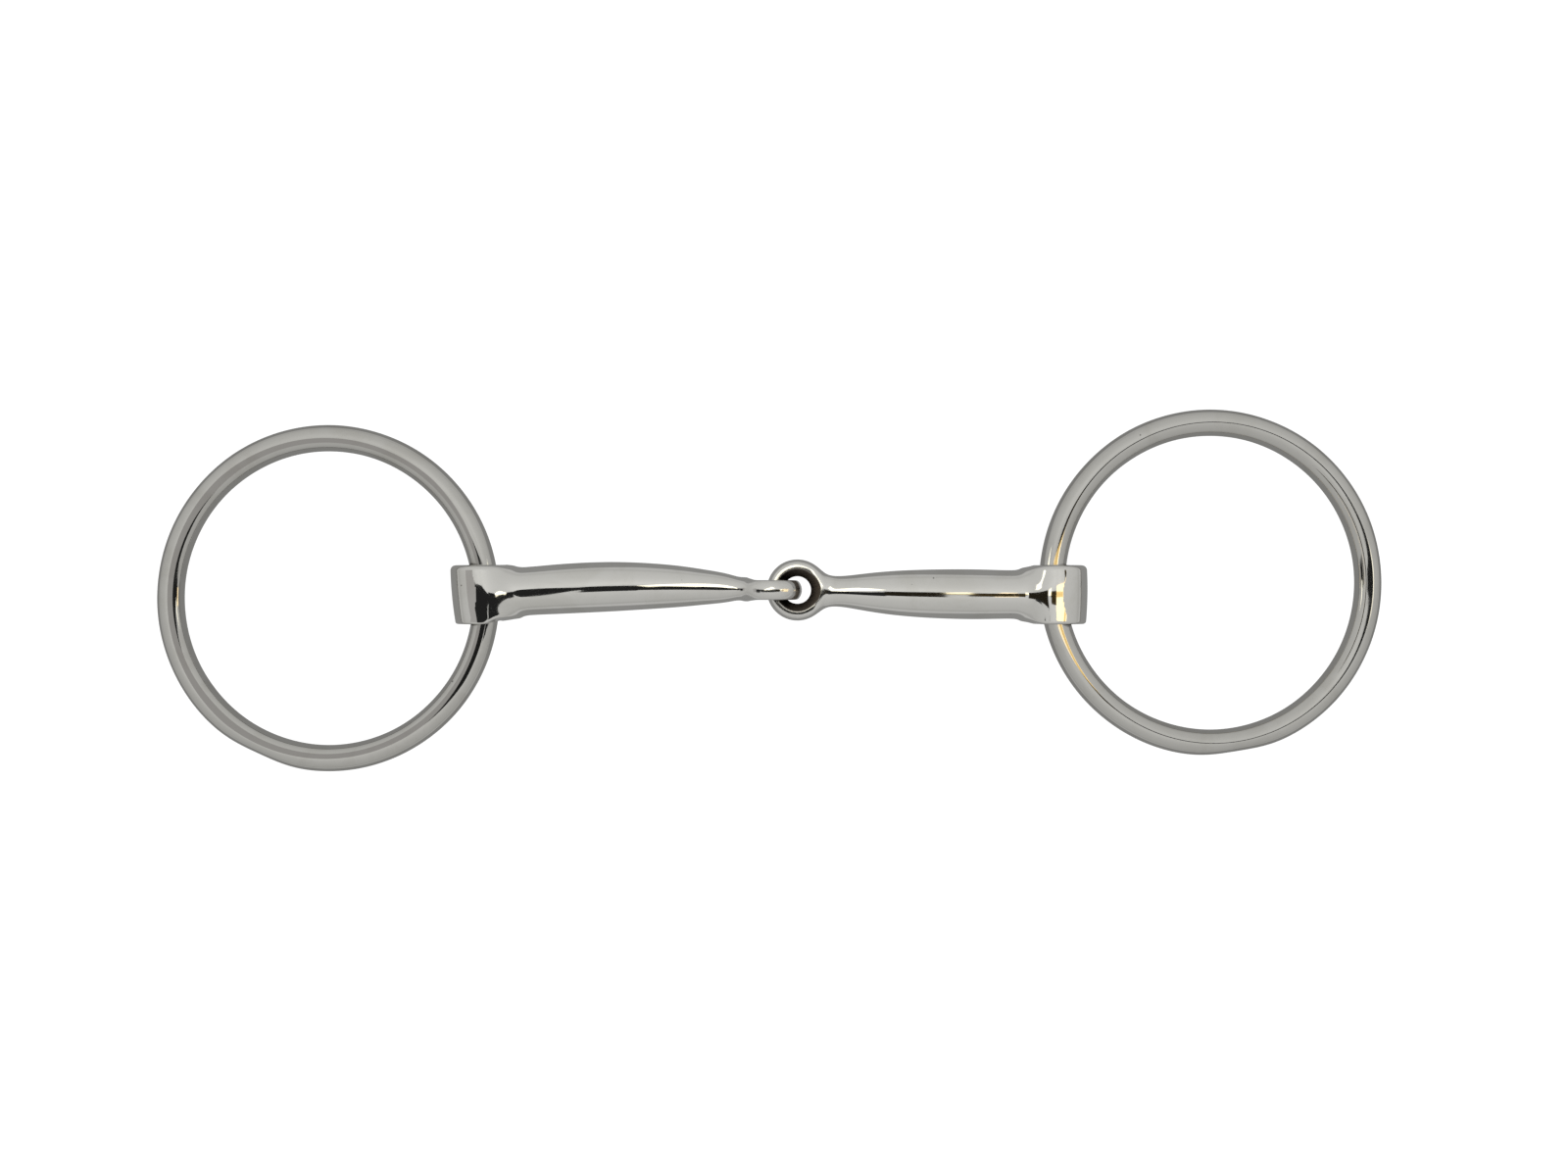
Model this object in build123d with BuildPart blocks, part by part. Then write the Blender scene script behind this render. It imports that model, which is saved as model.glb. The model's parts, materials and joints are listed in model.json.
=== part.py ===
from build123d import *
import os
from math import asin, cos, pi, sin, sqrt

# Loose-ring, single-jointed snaffle bit lying flat on a surface. All lengths are in millimetres.
#
# Frame: X runs along the mouthpiece, Y across it in the plane of the surface, Z up.
# The origin is on the surface, below the middle of the two holes that carry the rings.
# Four pieces: two cheek rings and two mouthpiece arms ("cannons"). Each cannon is one casting,
# with a butt at its outer end, bored for a ring, and an eye at its inner end, linked with the
# eye of the other cannon like two links of a chain.

# ---- overall sizes --------------------------------------------------------------------------
mouth_width = 125.0  # between the axes of the two ring holes
ring_outer_dia = 76.2  # over the outside of a cheek ring
ring_bar_dia = 5.8  # round bar that a cheek ring is bent from
joint_offset = 3.2  # how far the centre link stands right of the middle of the mouth

# ---- cannons --------------------------------------------------------------------------------
barrel_dia = 11.0  # thickest part of a cannon
waist_dia = 10.7  # where the barrel narrows slightly before the butt
root_reach = 2.6  # from the ring hole's axis to the barrel's first section, inside the butt
root_inset = 0.2  # how far that section lies below the butt's skin
waist_reach = 9.0  # from the ring hole's axis to that narrowing
belly_reach = 20.0  # from the ring hole's axis to the start of the thickest part
neck_width = 6.7  # narrowest part behind the eye, measured in the plane of the eye
neck_depth = 6.0  # the same place, measured along the eye's hole
neck_gap = 2.3  # from the eye's outer edge to that place
taper_length = 27.0  # from the thickest part to the neck
taper_power = 1.7  # how late along its length the taper steepens
eye_root_flare = 1.5  # how much the neck has widened again where it runs into the eye
eye_root_swell = 0.3  # how much thicker than the eye the neck is there

# ---- eyes -----------------------------------------------------------------------------------
eye_bar_depth = 4.3  # thickness of an eye along its hole
eye_bar_width = 3.7  # metal between an eye's hole and its outer edge
eye_play = 1.7  # hole diameter over the thicker side of the bar that hangs in it
eye_edge_bulge = 1.0  # how far an eye's rounded edge stands out beyond its flat faces
eye_face_width = 0.65  # flat ring on each face, between the countersink and the rounded edge
eye_land = 0.6  # straight part of the hole, between its two countersinks
link_gap = 0.3  # between the two eyes where they would touch when pulled tight

# ---- butts ----------------------------------------------------------------------------------
butt_height = 13.0  # length of the bored sleeve along its hole
butt_wall = 2.8  # metal around the ring hole
butt_bulge = 0.25  # how far the sleeve's side swells at mid height
butt_rim_round = 0.9  # rounding of the sleeve's outer rims
hole_clearance = 0.5  # least gap between a ring's bar and its hole
hole_mouth_round = 0.8  # rounding of the hole's two mouths
butt_blend = 1.0  # rounding of the hollow where the barrel meets the butt
flare_reach = 4.8  # from the ring hole's axis to where the barrel opens out into the butt
flare_height = 11.9  # height of the barrel there

# ---- how the bit lies -----------------------------------------------------------------------
left_ring_slide = -0.8  # the left ring has slipped this far along Y through its hole
right_ring_slide = 2.6  # the right ring, likewise
link_rise = 1.0  # the centre link stands this far along +Y from the line of the butts
left_bow = 1.3  # extra bow of the left cannon along +Y at mid length
right_bow = -0.3  # extra bow of the right cannon

# ---- fits worked out from the sizes above ---------------------------------------------------
ring_radius = (ring_outer_dia - ring_bar_dia) / 2  # to the middle of the bar


def nearest_bar(slide):
    """Least distance along X from a ring's centre to its bar, within the height of the butt."""
    return sqrt(ring_radius**2 - (butt_height / 2 + abs(slide)) ** 2)


def ring_reach(slide):
    """Distance from a ring's centre to its hole's axis, with the curved bar central in it."""
    return (nearest_bar(slide) + ring_radius) / 2


def ring_slope(slide):
    """Angle at which a ring slopes from its hole down to the surface, in radians."""
    return asin((axis_height - ring_bar_dia / 2) / (ring_reach(slide) + ring_radius))


def ring_span(slide):
    """Distance along X from a ring hole's axis to the far edge of the sloping ring."""
    return (ring_reach(slide) + ring_radius) * cos(ring_slope(slide)) + ring_bar_dia / 2


largest_slide = max(abs(left_ring_slide), abs(right_ring_slide))
bar_sag = (ring_radius - nearest_bar(largest_slide)) / 2  # the bar strays this far each way
hole_radius = ring_bar_dia / 2 + bar_sag + hole_clearance
butt_radius = hole_radius + butt_wall

eye_hole_radius = (max(eye_bar_depth, eye_bar_width) + eye_play) / 2
eye_radius = eye_hole_radius + eye_bar_width
link_pitch = 2 * eye_hole_radius - link_gap  # between the middles of the two eyes

left_arm = (mouth_width - link_pitch) / 2 + joint_offset  # from ring hole to middle of eye
right_arm = (mouth_width - link_pitch) / 2 - joint_offset
axis_height = max(butt_radius + butt_bulge, eye_radius)  # the lowest butt or eye is at Z = 0

# the origin is below the middle of the whole bit's outline
left_hole_x = (ring_span(left_ring_slide) - ring_span(right_ring_slide) - mouth_width) / 2
right_hole_x = left_hole_x + mouth_width
butt_y = -(left_ring_slide + right_ring_slide) / 2


def make_ring(hole_x, inward, slide):
    """A cheek ring: round bar bent to a circle, sloping from its hole down to the surface.

    inward is +1 when the mouthpiece lies to the +X side of the ring, and -1 when to the other.
    """
    slope = ring_slope(slide)
    to_hole = Vector(inward * cos(slope), 0, sin(slope))
    upright = Vector(-inward * sin(slope), 0, cos(slope))
    middle = Vector(hole_x, butt_y + slide, axis_height) - to_hole * ring_reach(slide)
    with BuildPart() as ring:
        with BuildSketch(Plane(middle, x_dir=to_hole, z_dir=to_hole.cross(upright))):
            with Locations((ring_radius, 0)):
                Circle(ring_bar_dia / 2)
        revolve(axis=Axis(middle, upright))
    return ring.part


def arm_stations(arm, neck_y, neck_z, eye_y, eye_z):
    """Sections of a cannon from butt to eye: distance from the ring hole, size in Y, size in Z."""
    root_depth = 2 * (sqrt(butt_radius**2 - root_reach**2) - root_inset)
    taper_start = arm - eye_radius - neck_gap - taper_length

    def barrel_size(reach, neck_size):
        """Size at that reach: the waist, plus the rise to the barrel, plus the taper to the neck."""
        risen = min((reach - waist_reach) / (belly_reach - waist_reach), 1)
        tapered = (max(reach - taper_start, 0) / taper_length) ** taper_power
        return waist_dia + (barrel_dia - waist_dia) * risen + (neck_size - barrel_dia) * tapered

    # in order of reach, because on a short arm the taper starts before the rise has ended
    reaches = {waist_reach, belly_reach}
    for part_way in (0, 0.25, 0.5, 0.75, 1):
        reaches.add(taper_start + taper_length * part_way)
    stations = [
        (root_reach, butt_height - 2 * butt_rim_round, root_depth),
        (flare_reach, flare_height, waist_dia),
    ]
    for reach in sorted(reaches):
        stations.append((reach, barrel_size(reach, neck_y), barrel_size(reach, neck_z)))
    stations.append((arm - eye_hole_radius - eye_bar_width / 2, eye_y, eye_z))
    return stations


def make_cannon(hole_x, inward, arm, bow, eye_axis):
    """One arm of the mouthpiece: bored butt, barrel, tapering neck and eye, in one piece.

    eye_axis is the direction of the eye's hole: Y for one cannon and Z for the other.
    """
    butt_middle = Vector(hole_x, butt_y, axis_height)
    eye_middle = Vector(hole_x + inward * arm, butt_y + link_rise, axis_height)
    outward_x = (inward, 0, 0)
    root_width = neck_width + eye_root_flare
    root_depth = eye_bar_depth + eye_root_swell
    if eye_axis.Y == 1:
        stations = arm_stations(arm, neck_depth, neck_width, root_depth, root_width)
    else:
        stations = arm_stations(arm, neck_width, neck_depth, root_width, root_depth)

    with BuildPart() as cannon:
        # butt: a short upright sleeve around the ring's bar
        half = butt_height / 2
        with BuildSketch(Plane(butt_middle, x_dir=(1, 0, 0), z_dir=(0, 0, 1))):
            with BuildLine():
                Polyline((butt_radius, -half), (0, -half), (0, half), (butt_radius, half))
                ThreePointArc(
                    (butt_radius, half), (butt_radius + butt_bulge, 0), (butt_radius, -half)
                )
            make_face()
        revolve(axis=Axis(butt_middle, (0, 1, 0)))
        rims = cannon.edges().filter_by(GeomType.CIRCLE).filter_by(
            lambda edge: abs(edge.radius - butt_radius) < 0.01
        )
        fillet(rims, butt_rim_round)

        # barrel, from inside the butt to inside the eye's bar
        for reach, size_y, size_z in stations:
            part_way = reach / arm
            offset = link_rise * part_way + bow * sin(pi * part_way)
            middle = butt_middle + Vector(inward * reach, offset, 0)
            with BuildSketch(Plane(middle, x_dir=(0, 1, 0), z_dir=(1, 0, 0))):
                Ellipse(size_y / 2, size_z / 2)
        loft()
        crease = cannon.edges().filter_by(GeomType.BSPLINE).filter_by(
            lambda edge: abs(edge.center().X - hole_x) < waist_reach
        )
        fillet(crease, butt_blend)

        # eye: a thick flat disc with a rounded edge
        face = eye_bar_depth / 2
        face_radius = eye_radius - eye_edge_bulge
        eye_plane = Plane(eye_middle, x_dir=outward_x, z_dir=Vector(outward_x).cross(eye_axis))
        with BuildSketch(eye_plane):
            with BuildLine():
                Polyline((face_radius, -face), (0, -face), (0, face), (face_radius, face))
                ThreePointArc((face_radius, face), (eye_radius, 0), (face_radius, -face))
            make_face()
        revolve(axis=Axis(eye_middle, eye_axis))

        # the eye's hole, straight at mid thickness and countersunk from each face
        mouth_radius = face_radius - eye_face_width
        land = eye_land / 2
        with BuildSketch(eye_plane):
            with BuildLine():
                Polyline(
                    (mouth_radius, face), (mouth_radius, barrel_dia), (0, barrel_dia),
                    (0, -barrel_dia), (mouth_radius, -barrel_dia), (mouth_radius, -face),
                    (eye_hole_radius, -land), (eye_hole_radius, land), (mouth_radius, face),
                )
            make_face()
        revolve(axis=Axis(eye_middle, eye_axis), mode=Mode.SUBTRACT)

        # the ring's hole, through the butt, with rounded mouths
        with Locations(Plane(butt_middle, z_dir=(0, 1, 0))):
            Hole(hole_radius)
        mouths = cannon.edges().filter_by(GeomType.CIRCLE).filter_by(
            lambda edge: abs(edge.radius - hole_radius) < 0.01
        )
        fillet(mouths, hole_mouth_round)
    return cannon.part


pieces = {
    "left_ring": make_ring(left_hole_x, 1, left_ring_slide),
    "right_ring": make_ring(right_hole_x, -1, right_ring_slide),
    "left_cannon": make_cannon(left_hole_x, 1, left_arm, left_bow, Vector(0, 1, 0)),
    "right_cannon": make_cannon(right_hole_x, -1, right_arm, right_bow, Vector(0, 0, 1)),
}
os.makedirs("parts", exist_ok=True)
for name, piece in pieces.items():
    piece.label = name
    export_step(piece, f"parts/{name}.step")
    print(name, piece.volume, piece.bounding_box())
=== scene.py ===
"""Looks of a loose-ring, single-jointed snaffle bit: two cheek rings and two linked cannons.

Shapes are worked out in millimetres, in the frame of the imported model, and turned into metres
when a piece is made.
"""

import json
import logging
import math
from dataclasses import dataclass
from enum import Enum
from typing import Callable

import bpy
import numpy as np
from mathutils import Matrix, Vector

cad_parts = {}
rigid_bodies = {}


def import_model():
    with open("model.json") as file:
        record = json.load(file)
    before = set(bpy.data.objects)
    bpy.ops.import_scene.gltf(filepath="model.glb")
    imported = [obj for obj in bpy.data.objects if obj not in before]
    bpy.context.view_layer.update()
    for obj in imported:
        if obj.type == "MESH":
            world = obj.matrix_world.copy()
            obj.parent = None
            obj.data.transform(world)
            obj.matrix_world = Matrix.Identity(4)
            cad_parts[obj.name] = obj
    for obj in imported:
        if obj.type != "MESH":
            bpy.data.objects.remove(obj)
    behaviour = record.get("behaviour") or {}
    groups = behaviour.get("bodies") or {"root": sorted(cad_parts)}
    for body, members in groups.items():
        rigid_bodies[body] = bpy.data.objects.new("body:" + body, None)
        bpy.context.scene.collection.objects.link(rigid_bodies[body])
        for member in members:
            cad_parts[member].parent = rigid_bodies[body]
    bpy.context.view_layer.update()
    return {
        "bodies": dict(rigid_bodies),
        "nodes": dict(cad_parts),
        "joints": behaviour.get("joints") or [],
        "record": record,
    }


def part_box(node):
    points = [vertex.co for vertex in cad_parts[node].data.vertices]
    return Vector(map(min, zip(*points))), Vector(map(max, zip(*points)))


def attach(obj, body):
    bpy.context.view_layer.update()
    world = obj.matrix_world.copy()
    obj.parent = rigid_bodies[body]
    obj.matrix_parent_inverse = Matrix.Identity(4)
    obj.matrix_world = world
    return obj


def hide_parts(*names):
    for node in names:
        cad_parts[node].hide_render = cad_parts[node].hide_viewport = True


MM = 0.001
LOG = logging.getLogger("snaffle")
Field = Callable[[np.ndarray], np.ndarray]
Grid = tuple[np.ndarray, np.ndarray, np.ndarray]
Colour = tuple[float, float, float]


class Linked(Enum):
    """Which way the hole of a cannon's eye runs."""

    ACROSS = "along Y"
    UPRIGHT = "along Z"


class Grain(Enum):
    """How polishing scratches run over a piece, as the stretch of their pattern along X, Y, Z."""

    ROUND_THE_BARREL = (9.0, 1.1, 1.1)
    MIXED = (3.2, 3.2, 3.2)


# ---- shape tools ----------------------------------------------------------------------------


@dataclass(frozen=True)
class SmoothCurve:
    """A natural cubic spline through a few sizes, held level beyond its ends."""

    places: tuple[float, ...]
    sizes: tuple[float, ...]

    def __call__(self, at: np.ndarray) -> np.ndarray:
        """Read the curve.

        Args:
            at: places along the curve.

        Returns:
            The size at each place.
        """
        x, y = np.array(self.places), np.array(self.sizes)
        gap, rise = np.diff(x), np.diff(y)
        system, right = np.eye(len(x)), np.zeros(len(x))
        for i in range(1, len(x) - 1):
            system[i, i - 1 : i + 2] = gap[i - 1], 2 * (gap[i - 1] + gap[i]), gap[i]
            right[i] = 6 * (rise[i] / gap[i] - rise[i - 1] / gap[i - 1])
        bend = np.linalg.solve(system, right)
        at = np.clip(at, x[0], x[-1])
        i = np.clip(np.searchsorted(x, at) - 1, 0, len(gap) - 1)
        h, before, after = gap[i], x[i + 1] - at, at - x[i]
        curved = (bend[i] * before**3 + bend[i + 1] * after**3) / (6 * h)
        level = (y[i] / h - bend[i] * h / 6) * before + (y[i + 1] / h - bend[i + 1] * h / 6) * after
        return curved + level


def smooth_least(a: np.ndarray, b: np.ndarray, width: float) -> np.ndarray:
    """Join two solids with a rounded hollow.

    Args:
        a: signed distances to the first solid.
        b: signed distances to the second solid.
        width: how wide the hollow is.

    Returns:
        Signed distances to the joined solid.
    """
    near = np.maximum(width - np.abs(a - b), 0) / width
    return np.minimum(a, b) - near**3 * width / 6


def smooth_most(a: np.ndarray, b: np.ndarray, width: float) -> np.ndarray:
    """Keep what two solids share, with a rounded edge of that width; see smooth_least."""
    return -smooth_least(-a, -b, width)


def slope_of(field: Field, points: np.ndarray, step: float = 0.01) -> np.ndarray:
    """Work out a field's gradient.

    Args:
        field: signed distances of points to a solid.
        points: N by 3 places.
        step: half the distance over which the slope is taken.

    Returns:
        N by 3 gradients.
    """
    slope = np.empty_like(points)
    for axis in range(3):
        shift = np.zeros(3)
        shift[axis] = step
        slope[:, axis] = (field(points + shift) - field(points - shift)) / (2 * step)
    return slope


def onto_surface(field: Field, points: np.ndarray, rounds: int) -> np.ndarray:
    """Move points straight to the surface where the field is zero.

    Args:
        field: signed distances of points to a solid.
        points: N by 3 places near the surface.
        rounds: how many corrections are made.

    Returns:
        The moved points.
    """
    least_steep, longest = 0.2, 0.3
    for _ in range(rounds):
        slope = slope_of(field, points)
        steep = np.maximum((slope**2).sum(1), least_steep)
        points = points - slope * np.clip(field(points) / steep, -longest, longest)[:, None]
    return points


def skin(field: Field, grid: Grid) -> tuple[np.ndarray, np.ndarray]:
    """Cover a solid with an even skin of four-sided faces.

    Args:
        field: signed distances of points to the solid, negative inside.
        grid: rising places along X, Y and Z of the grid that the skin is drawn from.

    Returns:
        The corners, N by 3, and the faces, M by 4, wound so that they face outwards.
    """
    evening_rounds, evening_pull = 6, 0.6
    nodes = np.stack(np.meshgrid(*grid, indexing="ij"), -1)
    shape = nodes.shape[:3]
    inside = field(nodes.reshape(-1, 3)).reshape(shape) < 0
    low, high = slice(0, -1), slice(1, None)
    picks = [(i, j, k) for i in (low, high) for j in (low, high) for k in (low, high)]
    filled = sum(inside[pick].astype(np.int8) for pick in picks)
    mixed = (filled > 0) & (filled < 8)
    number = np.full(mixed.shape, -1)
    number[mixed] = np.arange(mixed.sum())
    corners = ((nodes[:-1, :-1, :-1] + nodes[1:, 1:, 1:]) / 2)[mixed]

    faces = []
    for axis in range(3):
        u, v = (axis + 1) % 3, (axis + 2) % 3
        below = np.take(inside, range(shape[axis] - 1), axis)
        above = np.take(inside, range(1, shape[axis]), axis)
        at = np.argwhere(below != above)
        around = []
        for back_u, back_v in ((1, 1), (0, 1), (0, 0), (1, 0)):
            cell = at.copy()
            cell[:, u] -= back_u
            cell[:, v] -= back_v
            around.append(number[tuple(cell.T)])
        quads = np.stack(around, 1)
        turned = ~inside[tuple(at.T)]
        quads[turned] = quads[turned][:, ::-1]
        faces.append(quads)
    faces = np.concatenate(faces)

    corners = onto_surface(field, corners, 4)
    shared = np.bincount(faces.ravel(), minlength=len(corners))[:, None]
    for _ in range(evening_rounds):
        middles = corners[faces].mean(1)
        mean = np.zeros_like(corners)
        for axis in range(3):
            mean[:, axis] = np.bincount(faces.ravel(), np.repeat(middles[:, axis], 4), len(corners))
        move = mean / shared - corners
        normal = unit(slope_of(field, corners))
        move -= normal * (move * normal).sum(1)[:, None]
        corners = onto_surface(field, corners + evening_pull * move, 1)
    return onto_surface(field, corners, 2), faces


def unit(vectors: np.ndarray) -> np.ndarray:
    """Scale each vector to length 1."""
    return vectors / np.maximum(np.linalg.norm(vectors, axis=1), 1e-9)[:, None]


def make_piece(
    name: str, corners: np.ndarray, faces: np.ndarray, normals: np.ndarray, hole_shade: np.ndarray
) -> bpy.types.Object:
    """Turn a skin into an object.

    Args:
        name: the piece's name.
        corners: N by 3 places in millimetres.
        faces: M by 4 corner numbers.
        normals: N by 3 directions that the surface faces at its corners.
        hole_shade: how much painted shade each corner gets, from 0 to 1; 1 on the skin inside a cannon's
            holes.

    Returns:
        The object, at the origin, linked to the scene.
    """
    mesh = bpy.data.meshes.new(name)
    mesh.from_pydata((corners * MM).tolist(), [], faces.tolist())
    mesh.polygons.foreach_set("use_smooth", np.ones(len(faces), dtype=bool))
    mesh.normals_split_custom_set_from_vertices(normals.tolist())
    # painted shade: marks the skin inside a cannon's holes, which its steel tints near black
    mesh.attributes.new("shaded_hole_skin", "FLOAT", "POINT").data.foreach_set("value", hole_shade.astype(np.float32))
    mesh.update()
    piece = bpy.data.objects.new(name, mesh)
    bpy.context.scene.collection.objects.link(piece)
    return piece


# ---- finishes -------------------------------------------------------------------------------


@dataclass
class Bench:
    """A node tree that is being laid out."""

    tree: bpy.types.NodeTree

    def add(
        self, kind: str, inputs: dict[str | int, object] | None = None, **settings: object
    ) -> bpy.types.Node:
        """Place one node.

        Args:
            kind: the node's type.
            inputs: values, or sockets to link from, for its named or numbered inputs.
            settings: its other properties.

        Returns:
            The node.
        """
        node = self.tree.nodes.new(kind)
        for key, value in settings.items():
            setattr(node, key, value)
        for key, value in (inputs or {}).items():
            socket = node.inputs[key]
            if isinstance(value, bpy.types.NodeSocket):
                self.tree.links.new(value, socket)
            else:
                socket.default_value = value
        return node

    def maths(self, operation: str, *values: object) -> bpy.types.NodeSocket:
        """Place a Math node on those values or sockets and give its result."""
        node = self.add("ShaderNodeMath", dict(enumerate(values)), operation=operation)
        return node.outputs[0]

    def clamped(self, value: object) -> bpy.types.NodeSocket:
        """Hold a value between 0 and 1 with two Math nodes and give the result."""
        return self.maths("MINIMUM", self.maths("MAXIMUM", value, 0.0), 1.0)

    def mixed(self, share: object, first: object, second: object) -> bpy.types.NodeSocket:
        """Place a Mix node from the first colour to the second and give its colour."""
        node = self.add("ShaderNodeMix", {0: share, 6: first, 7: second}, data_type="RGBA")
        return node.outputs[2]

    def between(
        self, value: object, low: float, high: float, to_low: float = 0.0, to_high: float = 1.0
    ) -> bpy.types.NodeSocket:
        """Place a smooth Map Range node from low..high to to_low..to_high and give its result."""
        node = self.add(
            "ShaderNodeMapRange",
            {"Value": value, "From Min": low, "From Max": high, "To Min": to_low, "To Max": to_high},
            interpolation_type="SMOOTHSTEP",
        )
        return node.outputs["Result"]


def new_group(
    name: str, inputs: dict[str, tuple[str, object]], outputs: tuple[str, ...]
) -> tuple[Bench, bpy.types.Node, bpy.types.Node]:
    """Start a shader node group.

    Args:
        name: the group's name.
        inputs: socket type and starting value of each named input.
        outputs: names of its value outputs.

    Returns:
        The bench for its nodes, its input node and its output node.
    """
    tree = bpy.data.node_groups.new(name, "ShaderNodeTree")
    for label, (kind, value) in inputs.items():
        tree.interface.new_socket(name=label, in_out="INPUT", socket_type=kind).default_value = value
    for label in outputs:
        tree.interface.new_socket(name=label, in_out="OUTPUT", socket_type="NodeSocketFloat")
    bench = Bench(tree)
    return bench, bench.add("NodeGroupInput"), bench.add("NodeGroupOutput")


def new_nodes(data: bpy.types.Material | bpy.types.World) -> Bench:
    """Clear a material's or world's nodes and give the bench for new ones."""
    data.use_nodes = True
    data.node_tree.nodes.clear()
    return Bench(data.node_tree)


VECTOR, NUMBER = "NodeSocketVector", "NodeSocketFloat"


@dataclass
class SteelGroups:
    """The node groups that every steel finish is made with."""

    waviness: bpy.types.NodeTree
    scratches: bpy.types.NodeTree
    pits: bpy.types.NodeTree
    film: bpy.types.NodeTree
    wear: bpy.types.NodeTree

    @classmethod
    def build(cls) -> "SteelGroups":
        """Build each group once.

        Returns:
            The groups.
        """
        return cls(
            cls.hand_waviness(), cls.fine_scratches(), cls.casting_pits(), cls.thin_film(), cls.contact_wear()
        )

    @staticmethod
    def hand_waviness() -> bpy.types.NodeTree:
        """Slow unevenness that a polishing wheel leaves, as a height in metres."""
        bench, given, out = new_group(
            "hand waviness",
            {"Place": (VECTOR, (0, 0, 0)), "Length": (NUMBER, 7.0), "Depth": (NUMBER, 4e-6)},
            ("Height",),
        )
        scale = bench.maths("DIVIDE", 1000.0, given.outputs["Length"])
        slow = bench.add(
            "ShaderNodeTexNoise", {"Vector": given.outputs["Place"], "Scale": scale, "Detail": 1.0}
        )
        centred = bench.maths("SUBTRACT", slow.outputs["Fac"], 0.5)
        bench.tree.links.new(bench.maths("MULTIPLY", centred, given.outputs["Depth"]), out.inputs["Height"])
        return bench.tree

    @staticmethod
    def fine_scratches() -> bpy.types.NodeTree:
        """Hairline marks of polishing and handling, stretched by the grain."""
        bench, given, out = new_group(
            "fine scratches",
            {
                "Place": (VECTOR, (0, 0, 0)),
                "Grain": (VECTOR, (1, 1, 1)),
                "Cover": (NUMBER, 0.3),
                "Depth": (NUMBER, 4e-7),
            },
            ("Mask", "Height"),
        )
        stretched = bench.add(
            "ShaderNodeVectorMath",
            {0: given.outputs["Place"], 1: given.outputs["Grain"]},
            operation="MULTIPLY",
        )
        hair = bench.add(
            "ShaderNodeTexNoise",
            {
                "Vector": stretched.outputs[0],
                "Scale": 420.0,
                "Detail": 4.0,
                "Roughness": 0.62,
                "Distortion": 0.25,
            },
        )
        patches = bench.add(
            "ShaderNodeTexNoise", {"Vector": given.outputs["Place"], "Scale": 90.0, "Detail": 2.0}
        )
        edge = bench.maths("SUBTRACT", 0.72, bench.maths("MULTIPLY", given.outputs["Cover"], 0.3))
        line = bench.maths("MULTIPLY", bench.maths("SUBTRACT", hair.outputs["Fac"], edge), 6.0)
        patchy = bench.between(patches.outputs["Fac"], 0.35, 0.65, 0.25, 1.0)
        mask = bench.maths("MULTIPLY", bench.clamped(line), patchy)
        bench.tree.links.new(mask, out.inputs["Mask"])
        sunk = bench.maths("MULTIPLY", bench.maths("MULTIPLY", mask, given.outputs["Depth"]), -1.0)
        bench.tree.links.new(sunk, out.inputs["Height"])
        return bench.tree

    @staticmethod
    def casting_pits() -> bpy.types.NodeTree:
        """Scattered pinholes that show where cast steel has been polished down."""
        bench, given, out = new_group(
            "casting pits",
            {"Place": (VECTOR, (0, 0, 0)), "Share": (NUMBER, 0.1), "Depth": (NUMBER, 1e-5)},
            ("Mask", "Height"),
        )
        cells = bench.add(
            "ShaderNodeTexVoronoi", {"Vector": given.outputs["Place"], "Scale": 420.0, "Randomness": 1.0}
        )
        chance = bench.add("ShaderNodeSeparateColor", {0: cells.outputs["Color"]}).outputs[0]
        chosen = bench.maths("LESS_THAN", chance, given.outputs["Share"])
        hole = bench.between(cells.outputs["Distance"], 0.05, 0.11, 1.0, 0.0)
        mask = bench.maths("MULTIPLY", hole, chosen)
        bench.tree.links.new(mask, out.inputs["Mask"])
        sunk = bench.maths("MULTIPLY", bench.maths("MULTIPLY", mask, given.outputs["Depth"]), -1.0)
        bench.tree.links.new(sunk, out.inputs["Height"])
        return bench.tree

    @staticmethod
    def thin_film() -> bpy.types.NodeTree:
        """Faint cloudy film and finger smears on the polish, from 0 to 1."""
        bench, given, out = new_group(
            "thin film", {"Place": (VECTOR, (0, 0, 0)), "Patch": (NUMBER, 9.0)}, ("Mask",)
        )
        scale = bench.maths("DIVIDE", 1000.0, given.outputs["Patch"])
        cloud = bench.add(
            "ShaderNodeTexNoise",
            {
                "Vector": given.outputs["Place"],
                "Scale": scale,
                "Detail": 5.0,
                "Roughness": 0.6,
                "Distortion": 0.8,
            },
        )
        bench.tree.links.new(bench.between(cloud.outputs["Fac"], 0.42, 0.7), out.inputs["Mask"])
        return bench.tree

    @staticmethod
    def contact_wear() -> bpy.types.NodeTree:
        """Rubbed metal within a reach of a point, where steel runs on steel."""
        bench, given, out = new_group(
            "contact wear",
            {
                "Place": (VECTOR, (0, 0, 0)),
                "Centre": (VECTOR, (0, 0, 0)),
                "Reach": (NUMBER, 0.005),
                "Fade": (NUMBER, 0.0015),
            },
            ("Mask",),
        )
        away = bench.add(
            "ShaderNodeVectorMath",
            {0: given.outputs["Place"], 1: given.outputs["Centre"]},
            operation="DISTANCE",
        )
        inner = bench.maths("SUBTRACT", given.outputs["Reach"], away.outputs["Value"])
        near = bench.clamped(bench.maths("DIVIDE", inner, given.outputs["Fade"]))
        blotch = bench.add(
            "ShaderNodeTexNoise", {"Vector": given.outputs["Place"], "Scale": 700.0, "Detail": 3.0}
        )
        mask = bench.maths("MULTIPLY", near, bench.between(blotch.outputs["Fac"], 0.3, 0.6, 0.35, 1.0))
        bench.tree.links.new(mask, out.inputs["Mask"])
        return bench.tree


# drawn bar polishes a little darker than the castings
BAR_COLOUR = (0.560, 0.552, 0.532)
BAR_FILM_COLOUR = (0.520, 0.510, 0.485)


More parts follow.
